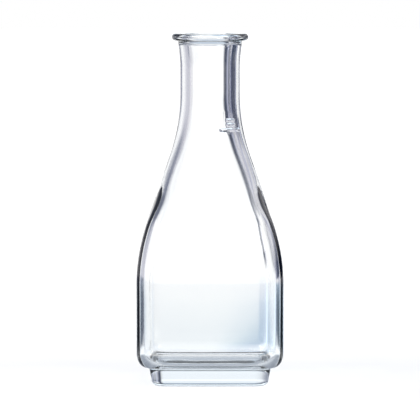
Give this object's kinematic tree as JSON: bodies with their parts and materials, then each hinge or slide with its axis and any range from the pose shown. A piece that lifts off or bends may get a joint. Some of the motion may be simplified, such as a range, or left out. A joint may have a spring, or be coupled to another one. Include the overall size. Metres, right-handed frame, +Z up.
{
  "type": "square jug",
  "caption": "Empty clear-glass jug with a square body on a smaller foot, a sloping shoulder, a round neck and a rolled lip.",
  "frame": {"origin": "centre of the foot's underside, on the plane that the jug stands on", "axes": "+Z up along the neck, -Y out of the front side, +X to the right seen from the front"},
  "size_m": [0.0848, 0.0848, 0.2],
  "materials": {
    "glass": "gloss"
  },
  "bodies": {
    "root": {"jug": "glass"}
  },
  "joints": []
}
